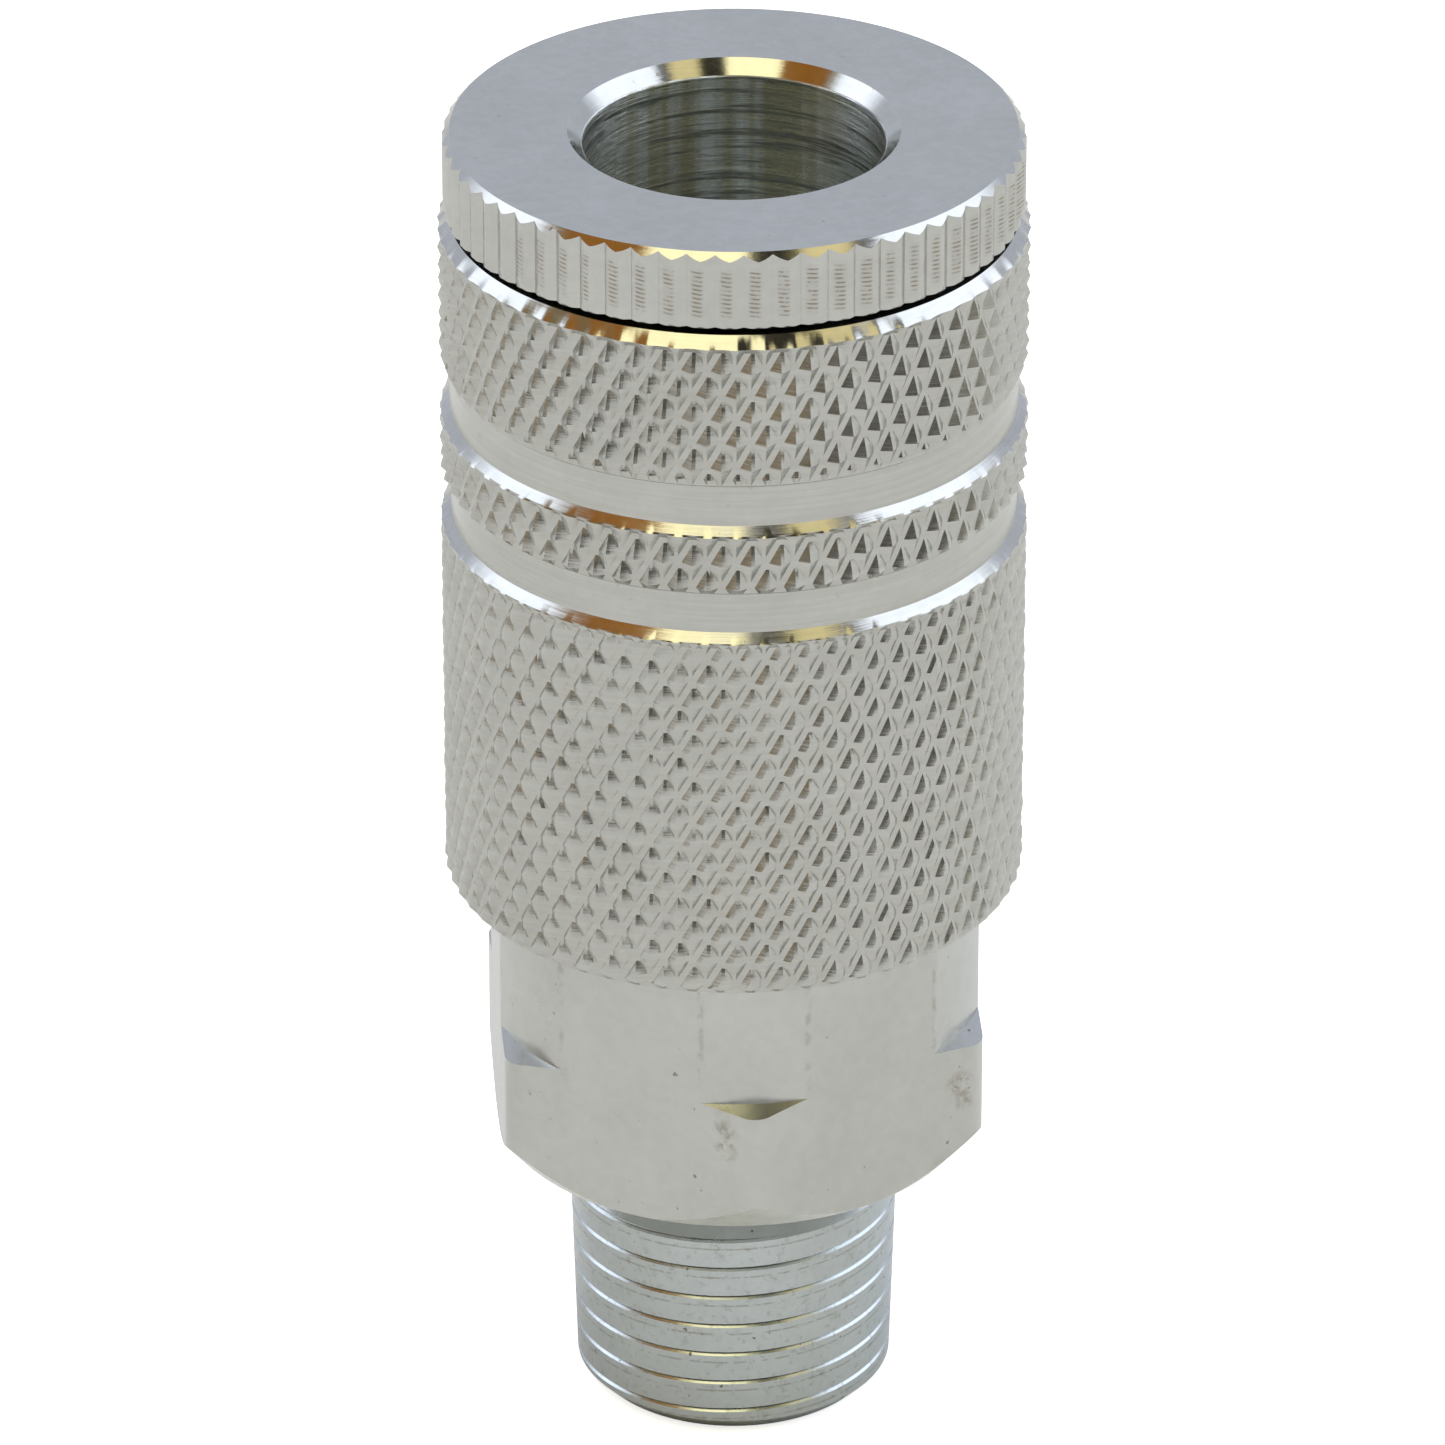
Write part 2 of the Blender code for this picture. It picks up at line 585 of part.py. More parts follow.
def add_ring(name, inner_r, outer_r, base_z, top_z, parts, finish):
    outline = [(outer_r, top_z), (outer_r, base_z), (inner_r, base_z), (inner_r, top_z)]
    ring = add_turned(name, outline, RING_FACETS, parts)
    ring.data.materials.append(finish)
    return ring


def make_sleeve_spring(parts, finish):
    base_z = WASHER_TOP_Z + SEAT_GAP + SLEEVE_WIRE_R
    top_z = SPRING_SHOULDER_Z - SEAT_GAP - SLEEVE_WIRE_R
    points = spring_points(
        SLEEVE_SPRING_R, base_z, top_z, SLEEVE_SPRING_PITCH, SLEEVE_SPRING_END_PITCH, WIRE_FACETS
    )
    report_coil_gap("sleeve_spring", points, WIRE_FACETS, SLEEVE_WIRE_R)
    spring = add_tube("sleeve_spring", points, SLEEVE_WIRE_R, parts)
    spring.data.materials.append(finish)
    return spring


def make_valve_spring(parts, finish):
    base_z = GUIDE_TOP_Z + SEAT_GAP + VALVE_WIRE_R
    top_z = HEAD_BASE_Z - SEAT_GAP - VALVE_WIRE_R
    points = spring_points(
        VALVE_SPRING_R, base_z, top_z, VALVE_SPRING_PITCH, VALVE_SPRING_END_PITCH, WIRE_FACETS
    )
    report_coil_gap("valve_spring", points, WIRE_FACETS, VALVE_WIRE_R)
    spring = add_tube("valve_spring", points, VALVE_WIRE_R, parts)
    spring.data.materials.append(finish)
    return spring


def make_nose_seal(parts, finish):
    """Rubber packing round the plug's nose, with a groove between its two upper lips."""
    middle_r = (STACK_R + NOSE_SEAL_R) / 2
    half_groove = (STACK_R - NOSE_SEAL_R) / 6
    outline = [
        (STACK_R, NOSE_SEAL_TOP_Z),
        (STACK_R, NOSE_SEAL_BASE_Z),
        (NOSE_SEAL_R, NOSE_SEAL_BASE_Z),
        (NOSE_SEAL_R, NOSE_SEAL_TOP_Z),
        (middle_r - half_groove, NOSE_SEAL_TOP_Z),
        (middle_r, NOSE_SEAL_TOP_Z - NOSE_SEAL_LIP),
        (middle_r + half_groove, NOSE_SEAL_TOP_Z),
    ]
    seal = add_turned("nose_seal", outline, RING_FACETS, parts)
    seal.data.materials.append(finish)
    return seal


def make_snap_ring(parts, finish):
    """Round-wire ring in the barrel's rear groove, open on one side."""
    sweep = math.tau - SNAP_RING_OPEN
    points = []
    for i in range(RING_FACETS):
        angle = SNAP_RING_OPEN / 2 + sweep * i / (RING_FACETS - 1)
        points.append((SNAP_RING_R * math.cos(angle), SNAP_RING_R * math.sin(angle), SNAP_RING_Z))
    ring = add_tube("seat_snap_ring", points, SNAP_WIRE_R, parts)
    ring.data.materials.append(finish)
    return ring


def make_poppet(parts, cutters, finish):
    """Valve poppet: grooved head, boss for the stem, and crossed wings that the plug's nose presses on."""
    groove_half = VALVE_SEAL_TUBE_R + SEAT_GAP
    groove_z = HEAD_TOP_Z - VALVE_SEAL_GROOVE_DEPTH
    outline = [
        (0.0, HEAD_TOP_Z),
        (VALVE_SEAL_R - groove_half, HEAD_TOP_Z),
        (VALVE_SEAL_R - groove_half, groove_z),
        (VALVE_SEAL_R + groove_half, groove_z),
        (VALVE_SEAL_R + groove_half, HEAD_TOP_Z),
        (HEAD_R, HEAD_TOP_Z),
        (HEAD_R, HEAD_BASE_Z),
        (BOSS_R, HEAD_BASE_Z),
        (BOSS_R, BOSS_BASE_Z),
        (STEM_R + RUNNING_GAP, BOSS_BASE_Z),
        (STEM_R + RUNNING_GAP, STEM_SOCKET_Z),
        (0.0, STEM_SOCKET_Z),
    ]
    poppet = add_turned("valve_poppet", outline, RING_FACETS, parts)
    wing_base_z = (HEAD_TOP_Z + STEM_SOCKET_Z) / 2
    for index in range(2):
        mesh = bpy.data.meshes.new(f"wing_{index + 1}")
        shape = bmesh.new()
        bmesh.ops.create_cube(shape, size=1.0)
        bmesh.ops.scale(shape, verts=shape.verts, vec=(2 * WING_R, WING_WIDTH, WING_TOP_Z - wing_base_z))
        bmesh.ops.rotate(shape, verts=shape.verts, matrix=Matrix.Rotation(index * math.pi / 2, 3, "Z"))
        bmesh.ops.translate(shape, verts=shape.verts, vec=(0.0, 0.0, (WING_TOP_Z + wing_base_z) / 2))
        shape.to_mesh(mesh)
        shape.free()
        wing = as_cutter(add_object(mesh.name, mesh, cutters))
        combine(poppet, wing, "UNION")
    poppet.data.materials.append(finish)
    return poppet


def make_stem(parts, finish):
    """Steel pin set in the poppet's boss and running in the guide, chamfered at its lower end."""
    outline = [
        (0.0, STEM_TOP_Z),
        (STEM_R, STEM_TOP_Z),
        (STEM_R, STEM_END_Z + STEM_CHAMFER),
        (STEM_R - STEM_CHAMFER, STEM_END_Z),
        (0.0, STEM_END_Z),
    ]
    stem = add_turned("valve_stem", outline, RING_FACETS, parts)
    stem.data.materials.append(finish)
    return stem


def make_valve_seal(parts, finish):
    """Rubber O-ring in the poppet head's groove."""
    bpy.ops.mesh.primitive_torus_add(
        major_segments=RING_FACETS,
        minor_segments=SEAL_TUBE_FACETS,
        major_radius=VALVE_SEAL_R,
        minor_radius=VALVE_SEAL_TUBE_R,
        location=(0.0, 0.0, VALVE_SEAL_Z),
    )
    seal = bpy.context.object
    seal.name = "valve_seal"
    seal.data.name = seal.name
    for holder in list(seal.users_collection):
        holder.objects.unlink(seal)
    parts.objects.link(seal)
    seal.data.materials.append(finish)
    return seal


def make_guide(parts, cutters, finish):
    """Perforated disc under the valve: it seats the valve spring and guides the stem."""
    bore_r = STEM_R + RUNNING_GAP
    outline = [
        (GUIDE_HUB_R, GUIDE_TOP_Z + GUIDE_HUB_HEIGHT),
        (GUIDE_HUB_R, GUIDE_TOP_Z),
        (DISC_R, GUIDE_TOP_Z),
        (DISC_R, GUIDE_BASE_Z),
        (bore_r, GUIDE_BASE_Z),
        (bore_r, GUIDE_TOP_Z + GUIDE_HUB_HEIGHT),
    ]
    guide = add_turned("valve_guide", outline, RING_FACETS, parts)
    for index in range(GUIDE_HOLES):
        angle = math.tau * (index + 0.5) / GUIDE_HOLES
        place = Matrix.Translation((
            GUIDE_HOLE_CIRCLE_R * math.cos(angle),
            GUIDE_HOLE_CIRCLE_R * math.sin(angle),
            (GUIDE_TOP_Z + GUIDE_BASE_Z) / 2,
        ))
        hole = add_round_cutter(
            f"flow_hole_{index + 1}", GUIDE_HOLE_R, GUIDE_HOLE_R, 3 * GUIDE_THICKNESS, HOLE_FACETS, place,
            cutters,
        )
        combine(guide, hole, "DIFFERENCE")
    guide.data.materials.append(finish)
    return guide


# ---- Assembly -------------------------------------------------------------------------------------

def main():
    clear_scene()
    parts = new_collection("quick_disconnect_coupler")
    cutters = new_collection("cutters")

    plated = metal("bright_plated_steel", (0.60, 0.60, 0.575), 0.28)
    ball_steel = metal("polished_ball_steel", (0.72, 0.72, 0.72), 0.10)
    spring_steel = metal("spring_steel", (0.45, 0.44, 0.42), 0.35)
    brass = metal("turned_brass", (0.72, 0.55, 0.28), 0.30)
    rubber = metal("black_rubber", (0.02, 0.02, 0.02), 0.60, metallic=0.0)

    fixed = [
        make_adapter(parts, cutters, plated),
        make_barrel(parts, cutters, plated),
        make_nose_seal(parts, rubber),
        add_ring("valve_seat_ring", SEAT_RING_R, STACK_R, SEAT_RING_BASE_Z, SEAT_RING_TOP_Z, parts, brass),
        make_snap_ring(parts, spring_steel),
        make_guide(parts, cutters, brass),
        add_ring("joint_gasket", GASKET_R, DISC_R, GASKET_BASE_Z, GASKET_TOP_Z, parts, rubber),
        make_valve_spring(parts, spring_steel),
    ]
    turning = [
        add_ring(
            "spring_washer", LAND_R, WASHER_R, WASHER_BASE_Z, WASHER_TOP_Z, parts, spring_steel
        ),
        make_sleeve_spring(parts, spring_steel),
    ]
    sliding = [make_sleeve(parts, plated)]
    valve = [
        make_poppet(parts, cutters, brass),
        make_stem(parts, spring_steel),
        make_valve_seal(parts, rubber),
    ]
    balls = make_balls(parts, ball_steel)

    for made in fixed + turning + sliding + valve + balls:
        if made.type == "MESH":
            apply_modifiers(made)

    axis = add_object("coupler_axis", None, parts)
    for name, members in (
        ("barrel_axis", fixed), ("spring_axis", turning), ("sleeve_axis", sliding), ("valve_axis", valve)
    ):
        empty = add_object(name, None, parts)
        empty.parent = axis
        for made in members:
            made.parent = empty
    for ball in balls:
        ball.parent = axis


main()
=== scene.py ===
import math

import bpy
import numpy as np
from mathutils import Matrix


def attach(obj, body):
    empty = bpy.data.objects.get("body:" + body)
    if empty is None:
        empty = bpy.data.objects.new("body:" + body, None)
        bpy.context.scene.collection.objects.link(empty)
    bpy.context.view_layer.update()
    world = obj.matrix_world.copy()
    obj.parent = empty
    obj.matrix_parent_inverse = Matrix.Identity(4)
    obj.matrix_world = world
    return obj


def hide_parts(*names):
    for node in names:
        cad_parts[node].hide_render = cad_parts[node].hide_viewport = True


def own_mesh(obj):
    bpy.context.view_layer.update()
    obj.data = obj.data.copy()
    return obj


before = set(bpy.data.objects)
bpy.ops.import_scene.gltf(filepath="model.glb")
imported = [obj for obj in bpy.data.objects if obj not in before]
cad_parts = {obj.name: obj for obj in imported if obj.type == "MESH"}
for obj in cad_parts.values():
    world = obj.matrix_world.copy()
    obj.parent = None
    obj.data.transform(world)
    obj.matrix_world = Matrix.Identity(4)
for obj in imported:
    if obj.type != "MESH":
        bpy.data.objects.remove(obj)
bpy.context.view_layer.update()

# ---- Hex adapter -------------------------------------------------------------------------------------
# Bright plated steel, turned from hexagonal bar: taper pipe thread, neck and hex below, a turned part with
# its corners taken down above, and inside it the socket that the barrel screws into.

mm = 0.001


def turn_on_lathe(name, outline, steps):
    """Draws the outline's points (radius, height) one after another and spins them round the Z axis."""
    bpy.ops.object.select_all(action="DESELECT")
    bpy.ops.mesh.primitive_plane_add(size=mm, location=(outline[0][0] * mm, 0, outline[0][1] * mm))
    turned = bpy.context.object
    turned.name = turned.data.name = name
    bpy.ops.object.transform_apply(location=True)
    bpy.ops.object.mode_set(mode="EDIT")
    bpy.ops.mesh.select_mode(type="VERT")
    bpy.ops.mesh.select_all(action="SELECT")
    bpy.ops.mesh.merge(type="CENTER")
    path = outline + outline[:1]
    for (from_r, from_z), (to_r, to_z) in zip(path, path[1:]):
        step = ((to_r - from_r) * mm, 0, (to_z - from_z) * mm)
        bpy.ops.mesh.extrude_region_move(TRANSFORM_OT_translate={"value": step})
    bpy.ops.mesh.select_all(action="SELECT")
    bpy.ops.mesh.spin(steps=steps, angle=math.tau, center=(0, 0, 0), axis=(0, 0, 1))
    bpy.ops.mesh.select_all(action="SELECT")
    bpy.ops.mesh.remove_doubles(threshold=2e-7)
    bpy.ops.mesh.normals_make_consistent(inside=False)
    bpy.ops.object.mode_set(mode="OBJECT")
    return turned


def select_only(piece):
    """Makes the piece the one selected object, and the active one."""
    bpy.ops.object.select_all(action="DESELECT")
    bpy.context.view_layer.objects.active = piece
    piece.select_set(True)


def machine(blank, tool, operation):
    """Cuts the blank with the tool, or keeps what both share, and takes the tool away."""
    select_only(blank)
    cut = blank.modifiers.new("cut", "BOOLEAN")
    cut.operation = operation
    cut.object = tool
    cut.solver = "EXACT"
    bpy.ops.object.modifier_apply(modifier=cut.name)
    bpy.data.objects.remove(tool, do_unlink=True)


def shade_turned(piece, degrees=28):
    """Smooth shading that breaks at the real edges."""
    select_only(piece)
    bpy.ops.object.shade_smooth_by_angle(angle=math.radians(degrees))


def wind(name, points, wire_r, sides):
    """A round wire bent along the points, in metres, as a closed mesh. sides is 4, 8 or 12."""
    bpy.ops.object.select_all(action="DESELECT")
    line = bpy.data.curves.new(name, "CURVE")
    line.dimensions = "3D"
    line.twist_mode = "Z_UP"
    line.bevel_depth = wire_r
    line.bevel_resolution = (sides - 4) // 2
    line.use_fill_caps = True
    spline = line.splines.new("POLY")
    spline.points.add(len(points) - 1)
    for target, point in zip(spline.points, points):
        target.co = (*point, 1.0)
    wire = bpy.data.objects.new(name, line)
    bpy.context.collection.objects.link(wire)
    wire.select_set(True)
    bpy.context.view_layer.objects.active = wire
    bpy.ops.object.convert(target="MESH")
    wire = bpy.context.object
    wire.name = wire.data.name = name
    bpy.ops.object.mode_set(mode="EDIT")
    bpy.ops.mesh.select_all(action="SELECT")
    bpy.ops.mesh.remove_doubles(threshold=1e-7)
    bpy.ops.mesh.normals_make_consistent(inside=False)
    bpy.ops.object.mode_set(mode="OBJECT")
    return wire


adapter_outline = [
    (10.20, 31.00), (10.50, 30.70), (10.50, 18.36), (11.85, 17.93), (11.85, 14.40), (10.00, 12.22),
    (6.20, 12.22), (6.20, 10.37), (6.931, 9.64), (6.649, 0.62), (6.03, 0.00), (4.20, 0.00), (4.20, 21.10),
    (6.30, 24.30), (7.60, 24.30), (7.60, 31.00),
]
adapter = turn_on_lathe("hex_adapter_plated", adapter_outline, 180)

hex_flat_r = 10.0
hex_corner_rounding = 0.62
bpy.ops.object.select_all(action="DESELECT")
bpy.ops.mesh.primitive_cylinder_add(
    vertices=6, radius=hex_flat_r / math.cos(math.pi / 6) * mm, depth=80 * mm, location=(0, 0, 15 * mm)
)
hex_bar = bpy.context.object
bpy.ops.object.transform_apply(location=True)
bpy.ops.object.mode_set(mode="EDIT")
bpy.ops.mesh.select_mode(type="EDGE")
bpy.ops.mesh.select_all(action="DESELECT")
bpy.ops.object.mode_set(mode="OBJECT")
for edge in hex_bar.data.edges:
    low, high = (hex_bar.data.vertices[i].co for i in edge.vertices)
    edge.select = abs(low.z - high.z) > 10 * mm
bpy.ops.object.mode_set(mode="EDIT")
bpy.ops.mesh.bevel(offset=hex_corner_rounding * mm, segments=5, affect="EDGES")
bpy.ops.object.mode_set(mode="OBJECT")
machine(adapter, hex_bar, "INTERSECT")

thread_pitch = 1.4111
thread_turns = 9.2
thread_steps = 72
thread_end_r = 6.63
groove_half_width = 0.105
thread_points = []
for i in range(round(thread_turns * thread_steps)):
    angle = math.tau * i / thread_steps
    z = -1.9 * thread_pitch + thread_pitch * i / thread_steps
    r = thread_end_r + z / 32
    thread_points.append((r * math.cos(angle) * mm, r * math.sin(angle) * mm, z * mm))
thread_tool = wind("thread_tool", thread_points, groove_half_width * mm, 4)
machine(adapter, thread_tool, "DIFFERENCE")
shade_turned(adapter)


class Flow:
    """One socket of a finish's nodes, so that shading is written as plain arithmetic."""

    def __init__(self, tree, socket=None):
        self.tree = tree
        self.socket = socket

    def node(self, kind, sockets=None, output=0, **settings):
        made = self.tree.nodes.new(kind)
        for key, value in settings.items():
            setattr(made, key, value)
        for key, value in (sockets or {}).items():
            if isinstance(value, Flow):
                self.tree.links.new(value.socket, made.inputs[key])
            else:
                made.inputs[key].default_value = value
        return Flow(self.tree, made.outputs[output])

    def math(self, operation, *values):
        return self.node("ShaderNodeMath", dict(enumerate(values)), operation=operation)

    def __add__(self, other):
        return self.math("ADD", self, other)

    def __sub__(self, other):
        return self.math("SUBTRACT", self, other)

    def __rsub__(self, other):
        return self.math("SUBTRACT", other, self)

    def __mul__(self, other):
        return self.math("MULTIPLY", self, other)

    def __truediv__(self, other):
        return self.math("DIVIDE", self, other)

    __radd__ = __add__
    __rmul__ = __mul__

    def ramp(self, low, high):
        """0 below low, 1 above high and smooth between them."""
        sockets = {"Value": self, "From Min": low, "From Max": high}
        return self.node("ShaderNodeMapRange", sockets, interpolation_type="SMOOTHSTEP")

    def mix(self, first, second):
        """The first colour where this is 0 and the second where it is 1."""
        return self.node("ShaderNodeMix", {0: self, 6: first, 7: second}, output=2, data_type="RGBA")

    def noise(self, scale, detail=3.0, roughness=0.5):
        """Noise at this place, scale in features for each metre."""
        sockets = {"Vector": self, "Scale": scale, "Detail": detail, "Roughness": roughness}
        return self.node("ShaderNodeTexNoise", sockets)

    def stretched(self, x, y, z):
        return self.node("ShaderNodeVectorMath", {0: self, 1: (x, y, z)}, operation="MULTIPLY")

    def split(self):
        """The three parts of a vector."""
        return [self.node("ShaderNodeSeparateXYZ", {0: self}, output=axis) for axis in "XYZ"]

    def near(self, x, y, z, size):
        """1 at that point and 0 from size away, in metres."""
        away = self.node("ShaderNodeVectorMath", {0: self, 1: (x, y, z)}, output=1, operation="DISTANCE")
        return 1 - away.ramp(0.25 * size, size)


def new_finish(name):
    """A fresh material, the start of its nodes and its shader's sockets."""
    finish = bpy.data.materials.new(name)
    finish.use_nodes = True
    tree = finish.node_tree
    return finish, Flow(tree), tree.nodes["Principled BSDF"].inputs


def plating(name, lines, stains, colour=(0.560, 0.565, 0.540), rough=0.20, marks=None):
    """Bright plating: lathe lines of a given strength, cloudy patches, and stains and pits from handling.

    marks is a function that gives the piece's darker marks, from 0 to 1, out of the place on it; some of
    them are painted shade, not the piece's own colour.
    """
    finish, start, shader = new_finish(name)
    place = start.node("ShaderNodeTexCoord", output="Object")
    cloud = place.noise(190, 4.0, 0.6)
    smudge = place.noise(520, 5.0, 0.65).ramp(0.58, 0.82)
    pit = place.noise(2300, 2.0, 0.5).ramp(0.72, 0.78)
    lathe = place.stretched(0.02, 0.02, 1.0).noise(7000, 4.0, 0.75)
    mottle = place.noise(1700, 4.0, 0.7).ramp(0.36, 0.64)
    patches = 0.55 * cloud.ramp(0.30, 0.70) + 0.45 * mottle
    pale = tuple(c * 1.05 for c in colour)
    deep = tuple(c * 0.93 for c in colour)
    tarnish = (colour[0] * 0.66, colour[1] * 0.62, colour[2] * 0.50)
    body = patches.mix((*deep, 1), (*pale, 1))
    shadow = (colour[0] * 0.70, colour[1] * 0.70, colour[2] * 0.66)
    lined = (lathe.ramp(0.35, 0.65) * (0.30 * lines)).mix(body, (*shadow, 1))
    stained = (smudge * (0.42 * stains)).mix(lined, (*tarnish, 1))
    pitted = (pit * stains).mix(stained, (0.17, 0.15, 0.10, 1))
    if marks:
        pitted = marks(place).mix(pitted, (0.20, 0.165, 0.11, 1))
    start.tree.links.new(pitted.socket, shader["Base Color"])
    roughness = rough + 0.05 * patches + 0.10 * smudge * stains + 0.06 * lines * lathe
    start.tree.links.new(roughness.socket, shader["Roughness"])
    shader["Metallic"].default_value = 1.0
    relief = lathe * lines + 0.5 * place.noise(900, 3.0) - 0.9 * pit * stains
    bump = start.node("ShaderNodeBump", {"Strength": 0.22, "Distance": 0.00004, "Height": relief})
    start.tree.links.new(bump.socket, shader["Normal"])
    return finish


def hex_marks(place):
    """Dark specks along the turned strips' edges, two smudges of grease by the corners in front, wear on
    the thread, and painted shade: a thin dark line beside the thread's groove, for its second edge.
    """
    x, y, z = place.split()
    turn = place.math("ARCTAN2", y, x)
    folded = place.math("PINGPONG", turn + math.pi, math.pi / 6)
    in_sixth = place.math("ABSOLUTE", folded - math.radians(17.75))
    arris = (1 - in_sixth.ramp(0.003, 0.020)) * z.ramp(0.0182, 0.0190)
    specks = place.noise(1500, 3.0, 0.7).ramp(0.46, 0.64)
    rough_patch = place.noise(1900, 4.0, 0.7).ramp(0.40, 0.62)
    smudges = 0
    for spot_x, spot_y, spot_z, size in hex_smudges:
        smudges = smudges + place.near(spot_x, spot_y, spot_z, size)
    on_thread = 1 - z.ramp(0.0094, 0.0100)
    worn_thread = on_thread * place.noise(3000, 4.0, 0.7).ramp(0.54, 0.66)
    # Painted shade: a thin dark helical line beside the thread's groove, standing in for the shade of its
    # second edge.
    wound = place.math("PINGPONG", z / (thread_pitch * mm) - turn / math.tau - 0.80, 0.5)
    painted_groove_line = on_thread * (1 - wound.ramp(0.015, 0.045)) * rough_patch.ramp(0.0, 0.6)
    return 0.30 * arris * specks + 0.60 * smudges * rough_patch + 0.28 * worn_thread + 0.42 * painted_groove_line


hex_smudges = [
    (-0.00130, -0.01090, 0.01720, 0.0008), (-0.00120, -0.01080, 0.01640, 0.0007),
    (0.00880, -0.00620, 0.01650, 0.0009), (0.00900, -0.00600, 0.01560, 0.0007),
]
adapter.data.materials.clear()
adapter.data.materials.append(
    plating("plated_hex", lines=0.06, stains=0.7, colour=(0.566, 0.576, 0.553), rough=0.22, marks=hex_marks)
)
# Painted light: the hex's down-facing lower chamfer gets a much paler copy of the plating, which lifts it
# where it sits in the coupler's own shadow.
adapter.data.materials.append(
    plating("plated_hex_chamfer_painted_light", lines=0.06, stains=0.7, colour=(0.92, 0.94, 0.91), rough=0.30)
)
# Painted reflection: the thread's plating is tinted blue-grey, standing in for the blue-grey room that its
# sides mirror.
thread_reflection_tint = (0.545, 0.592, 0.605)
adapter.data.materials.append(
    plating("plated_thread_painted_reflection", lines=0.06, stains=0.9, colour=thread_reflection_tint, rough=0.22, marks=hex_marks)
)
for face in adapter.data.polygons:
    is_chamfer = -0.95 < face.normal.z < -0.5 and 12.2 * mm < face.center.z < 14.6 * mm
    is_thread = face.center.z < 10.4 * mm and math.hypot(face.center.x, face.center.y) > 5.9 * mm
    face.material_index = 1 if is_chamfer else 2 if is_thread else 0
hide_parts("hex_adapter")
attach(adapter, "coupler_body")

# ---- Joint gasket and valve guide --------------------------------------------------------------------
# A black rubber ring seals the joint under the barrel. The guide is a turned brass disc with four drilled
# flow holes, clamped under it. Both are CAD solids of the right shape, given their finish here.


def turned_brass(name):
    """Turned brass with fine lathe lines and slight browning."""
    finish, start, shader = new_finish(name)
    place = start.node("ShaderNodeTexCoord", output="Object")
    lathe = place.stretched(0.05, 0.05, 1.0).noise(6000, 3.0, 0.7)
    brown = place.noise(420, 4.0, 0.6).ramp(0.45, 0.75)
    colour = (brown * 0.6).mix((0.74, 0.55, 0.26, 1), (0.42, 0.27, 0.10, 1))
    start.tree.links.new(colour.socket, shader["Base Color"])
    start.tree.links.new((0.24 + 0.12 * lathe + 0.12 * brown).socket, shader["Roughness"])
    shader["Metallic"].default_value = 1.0
    bump = start.node("ShaderNodeBump", {"Strength": 0.25, "Distance": 0.00004, "Height": lathe})
    start.tree.links.new(bump.socket, shader["Normal"])
    return finish


def black_rubber(name):
    """Moulded nitrile rubber with a faint bloom."""
    finish, start, shader = new_finish(name)
    place = start.node("ShaderNodeTexCoord", output="Object")
    bloom = place.noise(700, 4.0, 0.6)
    colour = bloom.ramp(0.35, 0.75).mix((0.012, 0.012, 0.013, 1), (0.038, 0.038, 0.036, 1))
    start.tree.links.new(colour.socket, shader["Base Color"])
    start.tree.links.new((0.42 + 0.22 * bloom).socket, shader["Roughness"])
    grain = place.noise(9000, 2.0)
    bump = start.node("ShaderNodeBump", {"Strength": 0.2, "Distance": 0.00002, "Height": grain})
    start.tree.links.new(bump.socket, shader["Normal"])
    return finish


def refinish(node_name, finish):
    """Gives a CAD solid its finish."""
    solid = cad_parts[node_name]
    solid.data.materials.clear()
    solid.data.materials.append(finish)


refinish("valve_guide", turned_brass("guide_brass"))
refinish("joint_gasket", black_rubber("gasket_rubber"))

# ---- Valve spring ------------------------------------------------------------------------------------
# Spring steel wire wound in five turns, with a closer turn at each end. It stands on the guide and closes
# the valve, and gets shorter as the plug pushes the valve back.


def spring_line(radius, low, high, turns, end_pitch, points_per_turn):
    """Points along a compression spring, in metres, from sizes in millimetres."""
    free = turns - 2
    free_pitch = (high - low - 2 * end_pitch) / free
    line = []
    for i in range(round(turns * points_per_turn) + 1):
        turn = i / points_per_turn
        ends = min(turn, 1) + max(turn - 1 - free, 0)
        z = low + end_pitch * ends + free_pitch * min(max(turn - 1, 0), free)
        angle = math.tau * turn
        line.append((radius * math.cos(angle) * mm, radius * math.sin(angle) * mm, z * mm))
    return line


def wire_steel(name):
    """Drawn spring wire with a light oil-brown cast."""
    finish, start, shader = new_finish(name)
    place = start.node("ShaderNodeTexCoord", output="Object")
    cast = place.noise(600, 3.0, 0.6).ramp(0.35, 0.7)
    colour = cast.mix((0.46, 0.45, 0.43, 1), (0.33, 0.30, 0.25, 1))
    start.tree.links.new(colour.socket, shader["Base Color"])
    start.tree.links.new((0.26 + 0.14 * cast).socket, shader["Roughness"])
    shader["Metallic"].default_value = 1.0
    scratch = place.noise(5200, 4.0, 0.7)
    bump = start.node("ShaderNodeBump", {"Strength": 0.18, "Distance": 0.00002, "Height": scratch})
    start.tree.links.new(bump.socket, shader["Normal"])
    return finish


valve_coil = wind("valve_coil", spring_line(3.40, 26.75, 33.05, 5.0, 1.15, 40), 0.35 * mm, 12)
shade_turned(valve_coil, 40)
valve_coil.data.materials.append(wire_steel("valve_spring_wire"))
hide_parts("valve_spring")
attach(valve_coil, "coupler_body")
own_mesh(valve_coil)

# ---- Valve -------------------------------------------------------------------------------------------
# A turned brass poppet with crossed wings on a steel stem, and an O-ring in its head's groove. The plug's
# nose presses on the wings and opens it.

refinish("valve_poppet", turned_brass("poppet_brass"))
refinish("valve_stem", wire_steel("stem_steel"))
refinish("valve_seal", black_rubber("valve_seal_rubber"))

# ---- Seat ring, its snap ring and the nose seal ------------------------------------------------------
# A brass ring is the valve's seat and backs the rubber seal round the plug's nose. A round-wire snap ring
# holds both in the barrel's rear bore.

refinish("valve_seat_ring", turned_brass("seat_brass"))
refinish("seat_snap_ring", wire_steel("snap_ring_wire"))
refinish("nose_seal", black_rubber("nose_seal_rubber"))

